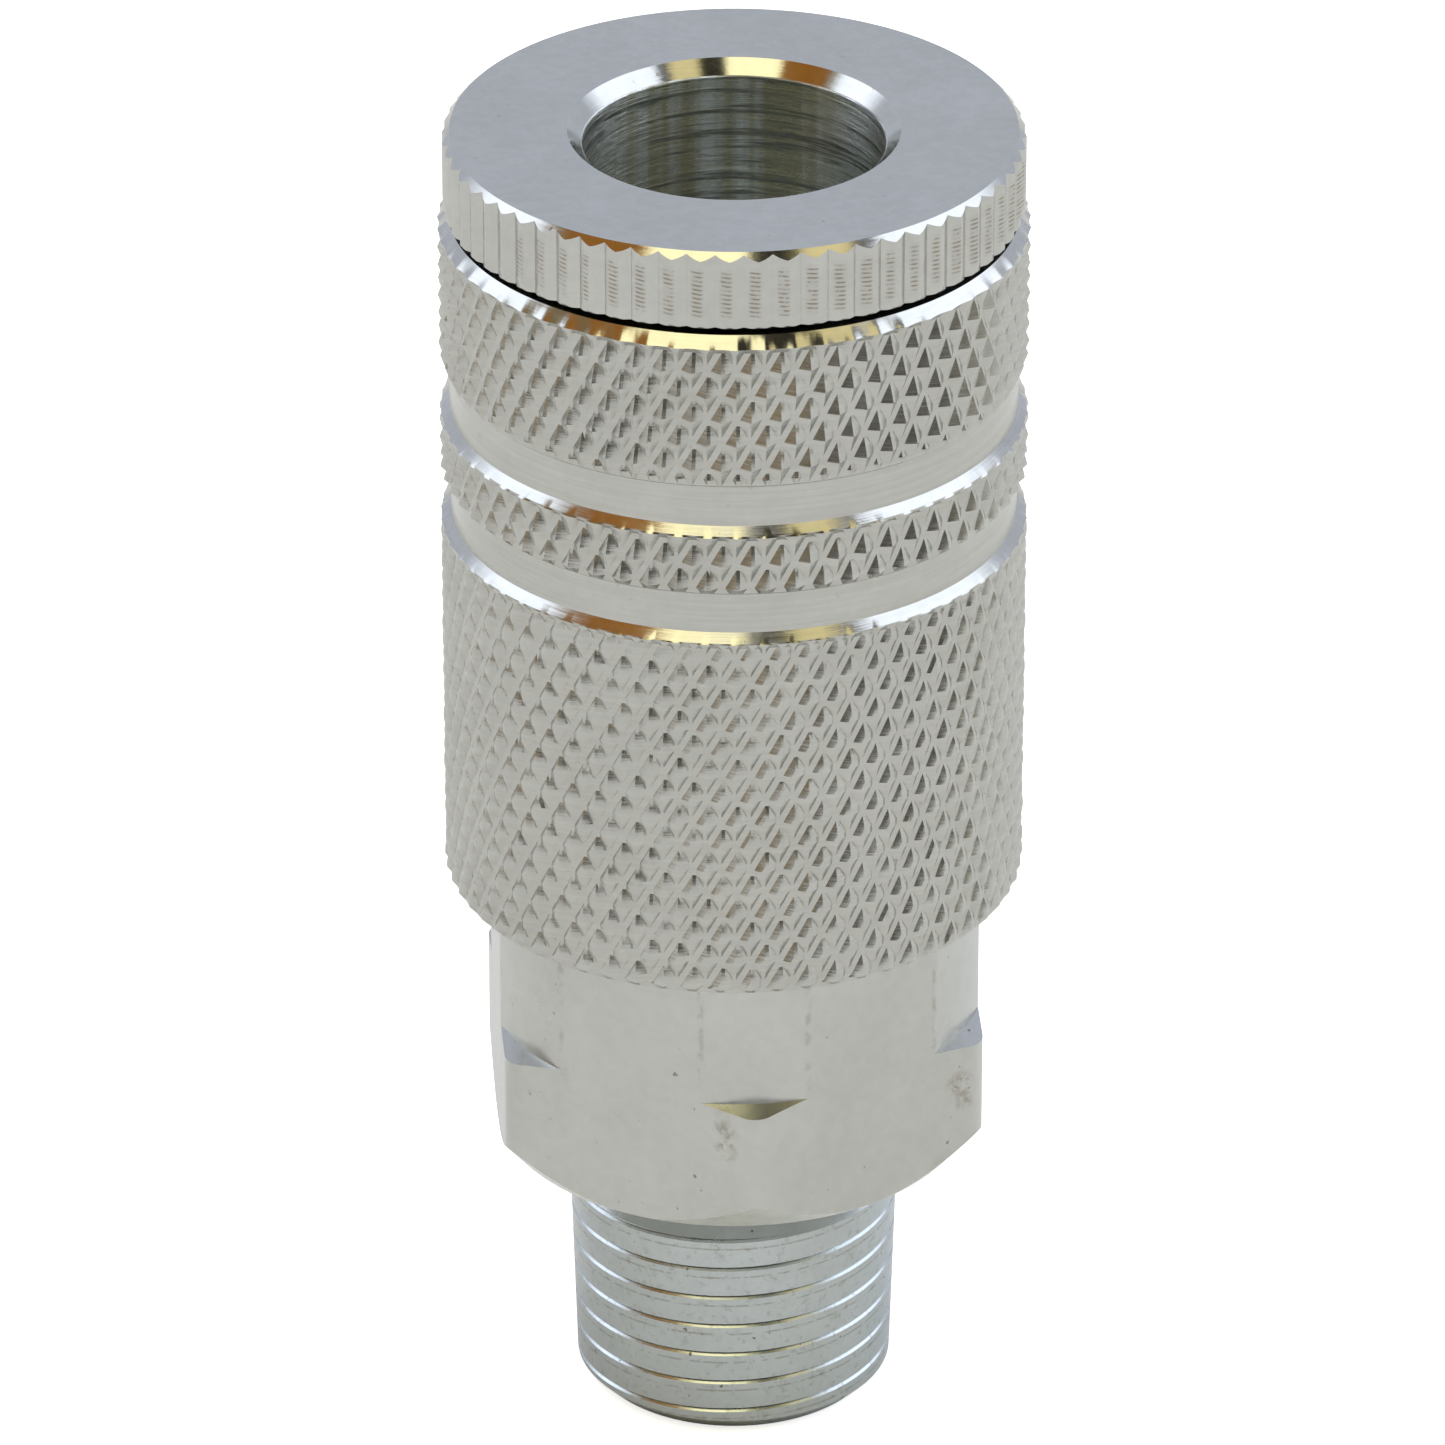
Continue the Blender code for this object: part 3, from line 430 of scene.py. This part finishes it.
# ---- Barrel ------------------------------------------------------------------------------------------
# Bright plated steel turned from bar: grip flange with rolled flutes, front face, plug bore with its mouth
# chamfer, six tapered ball holes, rear bore and the shank that screws into the adapter.


def vertex_places(piece):
    """Each vertex's place in millimetres, one row for each, and its distance from the Z axis."""
    places = np.empty(len(piece.data.vertices) * 3)
    piece.data.vertices.foreach_get("co", places)
    places = places.reshape(-1, 3) / mm
    return places, np.hypot(places[:, 0], places[:, 1])


def move_vertices(piece, places, radii, new_radii):
    """Writes the places back, each drawn in from its radius to its new one."""
    places[:, :2] *= (new_radii / np.maximum(radii, 1e-9))[:, None]
    piece.data.vertices.foreach_set("co", (places * mm).ravel())


flutes = 64
flute_steps = 8
flange_r = 11.83
face_z = 57.87
rim_edge_r = 11.51
rim_edge_z = 57.55
barrel_outline = [
    (rim_edge_r, face_z), (flange_r, rim_edge_z), (flange_r, 57.30), (flange_r, 56.6), (flange_r, 55.8),
    (flange_r, 55.0), (flange_r, 54.68), (11.75, 54.60), (8.05, 54.60), (8.05, 31.30), (7.40, 31.30),
    (7.40, 27.60), (6.40, 27.60), (6.40, 34.70), (7.00, 34.70), (7.00, 36.10), (6.40, 36.10), (6.40, 41.20),
    (4.30, 41.20), (4.30, 43.00), (6.15, 43.00), (6.15, 57.26), (6.20, 57.31), (6.71, 57.82), (6.76, 57.87),
]
barrel = turn_on_lathe("barrel_plated", barrel_outline, flutes * flute_steps)

places, radii = vertex_places(barrel)
angles = np.arctan2(places[:, 1], places[:, 0])
past_valley = (angles * flutes / math.tau) % 1.0 - 0.5
from_crest = 0.5 - np.abs(past_valley)
cut = 0.22 * (1.1 * from_crest + 1.8 * from_crest ** 2)
on_wall = radii > 11.70
new_radii = np.where(on_wall, np.minimum(radii, flange_r - cut), radii)
top_row = on_wall & (np.abs(places[:, 2] - rim_edge_z) < 0.01)
places[:, 2] = np.where(top_row, face_z - (new_radii - rim_edge_r), places[:, 2])
move_vertices(barrel, places, radii, new_radii)
beside_valley = on_wall & (past_valley > 0.20) & (past_valley < 0.51)
stipple = barrel.data.attributes.new("stipple", "FLOAT", "POINT")
stipple.data.foreach_set("value", beside_valley.astype(np.float32))
barrel.data.update()

# The balls, and the tapered holes for them from the bore (in) through the wall (out). hole_r is the hole's
# radius beside a ball's centre.
ball_count = 6
ball_r = 1.5875
ball_ring_r = 6.6225
ball_z = 46.5
hole_r = 1.6952
hole_in_r = 3.4475
hole_out_r = 9.6375
hole_length = hole_out_r - hole_in_r
hole_slope = math.tan(math.radians(15))
low_r = hole_r + (hole_in_r - ball_ring_r) * hole_slope
high_r = hole_r + (hole_out_r - ball_ring_r) * hole_slope
middle_r = (hole_in_r + hole_out_r) / 2 * mm
for index in range(ball_count):
    angle = math.tau * index / ball_count
    bpy.ops.object.select_all(action="DESELECT")
    bpy.ops.mesh.primitive_cone_add(
        vertices=48, radius1=low_r * mm, radius2=high_r * mm, depth=hole_length * mm,
        location=(middle_r * math.cos(angle), middle_r * math.sin(angle), ball_z * mm),
        rotation=(0, math.pi / 2, angle),
    )
    machine(barrel, bpy.context.object, "DIFFERENCE")
shade_turned(barrel, 24)


def flange_marks(place):
    """Fine dashes that the roll left beside each flute."""
    z = place.split()[2]
    on_flank = place.node("ShaderNodeAttribute", output=2, attribute_name="stipple")
    dashes = place.math("SINE", z * (math.tau / 0.00019)).ramp(-0.1, 0.7)
    broken = place.noise(2200, 3.0, 0.7).ramp(0.34, 0.54)
    in_height = z.ramp(0.0549, 0.0553) * (1 - z.ramp(0.0570, 0.0573))
    return on_flank * in_height * (0.10 + 0.62 * dashes * broken)


def bored_steel(name):
    """The plated plug bore: turning marks round it, and painted reflections: bluish and gold streaks along it
    and a paler band at each side.
    """
    finish, start, shader = new_finish(name)
    place = start.node("ShaderNodeTexCoord", output="Object")
    rings = place.stretched(0.04, 0.04, 1.0).noise(2600, 6.0, 0.8)
    # Painted reflection: streaks along the bore, bluish or gold.
    reflection_streak = place.stretched(1.0, 1.0, 0.02).noise(560, 3.0, 0.6)
    painted_reflection = reflection_streak.ramp(0.40, 0.60).mix((0.77, 0.84, 0.87, 1), (0.46, 0.46, 0.34, 1))
    # Painted highlight: the bore is paler towards its left and right sides.
    side_highlight = place.math("ABSOLUTE", place.split()[0]).ramp(0.0028, 0.0056)
    painted_reflection = (0.75 * side_highlight).mix(painted_reflection, (0.93, 0.97, 0.98, 1))
    colour = rings.ramp(0.50, 0.62).mix(painted_reflection, (0.24, 0.26, 0.24, 1))
    start.tree.links.new(colour.socket, shader["Base Color"])
    start.tree.links.new((0.16 + 0.24 * rings).socket, shader["Roughness"])
    shader["Metallic"].default_value = 1.0
    bump = start.node("ShaderNodeBump", {"Strength": 0.75, "Distance": 0.00012, "Height": rings})
    start.tree.links.new(bump.socket, shader["Normal"])
    return finish


barrel.data.materials.clear()
barrel.data.materials.append(
    plating("plated_barrel", lines=0.35, stains=0.25, rough=0.15, marks=flange_marks)
)
barrel.data.materials.append(bored_steel("plug_bore_painted_reflections"))
barrel.data.materials.append(plating("plated_barrel_chamfer", lines=0.35, stains=0.25, rough=0.07))
for face in barrel.data.polygons:
    in_bore = math.hypot(face.center.x, face.center.y) < 6.18 * mm and face.center.z > 42.9 * mm
    on_chamfer = face.center.z > 57.2 * mm and 0.4 < face.normal.z < 0.95
    face.material_index = 1 if in_bore else 2 if on_chamfer else 0
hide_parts("barrel")
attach(barrel, "coupler_body")

# ---- Locking balls -----------------------------------------------------------------------------------
# Six hardened and polished 1/8 inch steel balls, one in each tapered hole through the barrel. The sleeve's
# land holds them in, and lets them out as the sleeve draws back.


def polished_ball(name):
    """Polished bearing steel with faint scuffs."""
    finish, start, shader = new_finish(name)
    place = start.node("ShaderNodeTexCoord", output="Object")
    scuff = place.noise(2600, 4.0, 0.7).ramp(0.5, 0.8)
    colour = scuff.mix((0.70, 0.70, 0.70, 1), (0.58, 0.57, 0.54, 1))
    start.tree.links.new(colour.socket, shader["Base Color"])
    start.tree.links.new((0.09 + 0.12 * scuff).socket, shader["Roughness"])
    shader["Metallic"].default_value = 1.0
    return finish


ball_finish = polished_ball("ball_steel_polished")
for index in range(ball_count):
    angle = math.tau * index / ball_count
    bpy.ops.object.select_all(action="DESELECT")
    ball_x = ball_ring_r * mm * math.cos(angle)
    ball_y = ball_ring_r * mm * math.sin(angle)
    bpy.ops.mesh.primitive_cube_add(size=2 * ball_r * mm, location=(ball_x, ball_y, ball_z * mm))
    ball = bpy.context.object
    ball.name = ball.data.name = f"ball_{index + 1}_polished"
    finer = ball.modifiers.new("finer", "SUBSURF")
    finer.subdivision_type = "SIMPLE"
    finer.levels = finer.render_levels = 4
    rounded = ball.modifiers.new("rounded", "CAST")
    rounded.factor = 1.0
    rounded.size = ball_r * mm
    rounded.use_radius_as_size = False
    bpy.ops.object.modifier_apply(modifier="finer")
    bpy.ops.object.modifier_apply(modifier="rounded")
    bpy.ops.object.transform_apply(location=True)
    bpy.ops.object.shade_smooth()
    ball.data.materials.append(ball_finish)
    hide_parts(f"locking_ball_{index + 1}")
    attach(ball, f"ball_{index + 1}")

# ---- Sleeve spring and its washer --------------------------------------------------------------------
# A thicker spring round the barrel pushes the sleeve forward, and gets shorter as the sleeve draws back. A
# flat steel washer seats it on the adapter.

refinish("spring_washer", wire_steel("washer_steel"))
sleeve_coil = wind("sleeve_coil", spring_line(9.35, 32.85, 42.75, 4.5, 1.65, 56), 0.55 * mm, 12)
shade_turned(sleeve_coil, 40)
sleeve_coil.data.materials.append(wire_steel("sleeve_spring_wire"))
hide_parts("sleeve_spring")
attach(sleeve_coil, "spring_set")
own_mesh(sleeve_coil)

# ---- Sleeve ------------------------------------------------------------------------------------------
# Bright plated steel tube with a rolled diamond knurl in three bands and two plain turned grooves. Inside are
# the skirt over the adapter, the spring's shoulder, the land that locks the balls, its cone and a relief.

teeth_round = 63
tooth_height = 2.15
part_steps = 8
sleeve_r = 12.06
groove_r = 11.62
sleeve_top = 54.25
band_tops = (53.78, 45.37, 40.56)
outside = [
    (sleeve_top, 11.59), (band_tops[0], sleeve_r), (47.88, sleeve_r), (47.50, groove_r), (45.75, groove_r),
    (band_tops[1], sleeve_r), (43.04, sleeve_r), (42.66, groove_r), (40.94, groove_r),
    (band_tops[2], sleeve_r), (24.61, sleeve_r), (24.43, 11.88),
]
heights = {z for z, r in outside}
z = band_tops[0]
while z > 24.62:
    if not (45.80 < z < 47.45 or 40.99 < z < 42.61):
        heights.add(round(z, 4))
    z -= tooth_height / part_steps
heights = sorted(heights, reverse=True)
heights = [z for i, z in enumerate(heights) if i == 0 or heights[i - 1] - z > 0.02 or z in dict(outside)]
profile = sorted(outside)
outer_line = [(float(np.interp(z, [p[0] for p in profile], [p[1] for p in profile])), z) for z in heights]
sleeve_outline = outer_line + [
    (10.75, 24.43), (10.75, 43.60), (8.30, 43.60), (8.30, 46.50), (9.50, 52.30), (9.65, 52.30),
    (9.65, sleeve_top),
]
sleeve = turn_on_lathe("sleeve_knurled", sleeve_outline, teeth_round * part_steps)

places, radii = vertex_places(sleeve)
round_about = np.arctan2(places[:, 1], places[:, 0]) * teeth_round / math.tau
along = (places[:, 2] - band_tops[0]) / tooth_height
first, second = round_about + along, round_about - along


def flank(across, flat_share):
    """Height across one tooth, 0 in its flat valley and 1 at its crest."""
    return np.clip((1 - np.abs(2 * (across % 1.0) - 1) - flat_share) / (1 - flat_share), 0, 1)


rise = np.minimum(flank(first, 0.0), flank(second, 0.25))
chance = np.random.default_rng(7).random((2 * teeth_round, 64))
tooth = np.floor(first + 1e-6), np.floor(second + 1e-6)
around = ((tooth[0] + tooth[1]) % (2 * teeth_round)).astype(int)
tooth_chance = chance[around, ((tooth[0] - tooth[1]) % 64).astype(int)]
worn = np.interp(places[:, 2], (41.0, 45.0), (1.0, 0.0))
rise = rise * (1 - worn) + worn * (1 - (1 - rise) ** 2.0) * (0.90 + 0.10 * tooth_chance)
grain = np.random.default_rng(11).random(len(radii)) - 0.5
rise = rise + grain * (0.05 + 0.13 * worn) * (1 - rise)
rise = np.clip(rise * (1.04 + 0.10 * (tooth_chance - 0.5)), 0.0, 1.0)
tops = np.array(band_tops)
under_top = np.clip(tops - places[:, 2][:, None], 0, None)
under_top = np.where(tops > places[:, 2][:, None] - 0.5, under_top, np.inf).min(axis=1)
knurl_depth = 0.30 * (0.25 + 0.75 * np.clip(under_top / 0.27, 0, 1)) * (1 - 0.32 * worn)
knurl_r = sleeve_r - knurl_depth * (1 - rise)
is_outside = radii > 11.3
new_radii = np.where(is_outside, np.minimum(radii, knurl_r), radii)
move_vertices(sleeve, places, radii, new_radii)
sleeve.data.update()
select_only(sleeve)
bpy.ops.object.mode_set(mode="EDIT")
bpy.ops.mesh.select_all(action="SELECT")
bpy.ops.mesh.quads_convert_to_tris(quad_method="SHORTEST_DIAGONAL")
bpy.ops.object.mode_set(mode="OBJECT")
shade_turned(sleeve, 16)
# The valley attribute is 1 down in the knurl's valleys and 0 on its crests; it carries the painted shade
# between the teeth.
valley = sleeve.data.attributes.new("valley", "FLOAT", "POINT")
valley.data.foreach_set("value", np.where(is_outside & (radii > 11.9), 1 - rise, 0).astype(np.float32))


def knurl_valley_shade(place):
    """Painted shade low between the teeth: darker down in the valleys, broken up by noise."""
    low = place.node("ShaderNodeAttribute", output=2, attribute_name="valley")
    return 0.10 * low.ramp(0.35, 1.0) * place.noise(1700, 4.0, 0.7).ramp(0.40, 0.66)


sleeve.data.materials.clear()
sleeve.data.materials.append(plating("plated_sleeve", lines=1.0, stains=0.25, rough=0.19, marks=knurl_valley_shade))
sleeve.data.materials.append(plating("plated_sleeve_chamfer", lines=0.6, stains=0.25, rough=0.09))
for face in sleeve.data.polygons:
    if 0.4 < face.normal.z < 0.95 and face.center.xy.dot(face.normal.xy) > 0:
        above_bands = [face.center.z / mm - top for top in band_tops]
        face.material_index = 1 if any(0.02 < above < 0.46 for above in above_bands) else 0
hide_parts("sleeve")
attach(sleeve, "sliding_sleeve")

# ---- Floor -------------------------------------------------------------------------------------------
# A plain white sweep that the coupler stands on. It glows a little where the camera sees it, so that it looks
# as white as the photograph's background.

bpy.ops.object.select_all(action="DESELECT")
bpy.ops.mesh.primitive_circle_add(vertices=96, radius=3.0, fill_type="NGON", location=(0, 0, -0.00002))
floor = bpy.context.object
floor.name = floor.data.name = "floor"
bpy.ops.object.transform_apply(location=True)
paper, start, shader = new_finish("white_sweep")
shader["Base Color"].default_value = (0.86, 0.86, 0.85, 1)
shader["Roughness"].default_value = 0.9
seen = start.node("ShaderNodeLightPath", output="Is Camera Ray")
seen = seen + start.node("ShaderNodeLightPath", output="Is Transmission Ray")
glow = start.node("ShaderNodeEmission", {"Strength": 0.72 * seen})
surface = start.node(
    "ShaderNodeAddShader", {0: Flow(start.tree, start.tree.nodes["Principled BSDF"].outputs[0]), 1: glow}
)
start.tree.links.new(surface.socket, start.tree.nodes["Material Output"].inputs["Surface"])
floor.data.materials.append(paper)

# ---- Studio light ------------------------------------------------------------------------------------
# A big soft lamp overhead lights the floor. The room is what the metal mirrors: bright windows at both sides,
# a grey-blue wall behind, and a dark front with warm lamps high up in it.

lamp_data = bpy.data.lights.new("overhead", "AREA")
lamp_data.shape = "DISK"
lamp_data.size = 1.2
lamp_data.energy = 2.42
lamp = bpy.data.objects.new("overhead", lamp_data)
bpy.context.collection.objects.link(lamp)
lamp.location = (0.0, -0.05, 1.1)
lamp.visible_glossy = False

room = bpy.data.worlds.new("studio_room")
bpy.context.scene.world = room
room.use_nodes = True
start = Flow(room.node_tree)
direction = start.node("ShaderNodeTexCoord", output="Generated")
room_x, room_y, up = direction.split()
camera_side_x, camera_side_y = -0.083, -0.997
toward_camera = room_x * camera_side_x + room_y * camera_side_y
to_right = room_x * -camera_side_y + room_y * camera_side_x
turn = start.math("ARCTAN2", to_right, toward_camera)
back = start.math("ABSOLUTE", turn).ramp(1.85, 2.25)
colour = back.mix((0.90, 0.91, 0.90, 1), (0.645, 0.685, 0.785, 1))

low_front = turn.ramp(0.35, 0.70).mix((0.078, 0.072, 0.058, 1), (0.25, 0.23, 0.16, 1))
low_front = (1 - turn.ramp(-0.80, -0.45)).mix(low_front, (0.28, 0.20, 0.10, 1))
colour = (turn.ramp(-1.85, -1.42) * (1 - turn.ramp(0.72, 1.02))).mix(colour, low_front)

window_right = turn.ramp(1.22, 1.36) * (1 - turn.ramp(2.0, 2.3))
window_left = (1 - turn.ramp(-1.72, -1.58)) * turn.ramp(-2.3, -2.0)
colour = ((window_right + window_left) * up.ramp(0.18, 0.32)).mix(colour, (1.75, 1.85, 2.10, 1))

high_front = turn.ramp(-0.90, -0.82).mix((0.42, 0.17, 0.03, 1), (2.05, 1.85, 1.10, 1))
high_front = turn.ramp(0.12, 0.19).mix(high_front, (0.030, 0.027, 0.020, 1))
high_front = turn.ramp(0.60, 0.72).mix(high_front, (1.15, 0.98, 0.50, 1))
high_front = turn.ramp(1.08, 1.16).mix(high_front, (0.16, 0.16, 0.17, 1))
in_high_front = turn.ramp(-1.58, -1.48) * (1 - turn.ramp(1.24, 1.34)) * up.ramp(0.66, 0.74)
colour = in_high_front.mix(colour, high_front)
colour = up.ramp(0.93, 0.98).mix(colour, (0.8, 0.82, 0.84, 1))
camera_ray = start.node("ShaderNodeLightPath", output="Is Camera Ray")
colour = camera_ray.mix(colour, (1, 1, 1, 1))
background = room.node_tree.nodes["Background"]
room.node_tree.links.new(colour.socket, background.inputs["Color"])
background.inputs["Strength"].default_value = 1.0

# ---- Camera ------------------------------------------------------------------------------------------
# It stands where the photograph was taken from: in front, a little to the left, and looking down with a
# long lens.

camera_data = bpy.data.cameras.new("camera")
camera_data.lens = 279.34
camera_data.sensor_width = 36
camera_data.clip_start = 0.01
camera = bpy.data.objects.new("camera", camera_data)
bpy.context.collection.objects.link(camera)
camera.location = (-0.03407, -0.40869, 0.25124)
camera.rotation_euler = (math.radians(61.718), 0, math.radians(-4.7))
bpy.context.scene.camera = camera
bpy.context.scene.view_settings.view_transform = "Standard"

# ---- Sizes -------------------------------------------------------------------------------------------
# The view layer is brought up to date at the end.

bpy.context.view_layer.update()
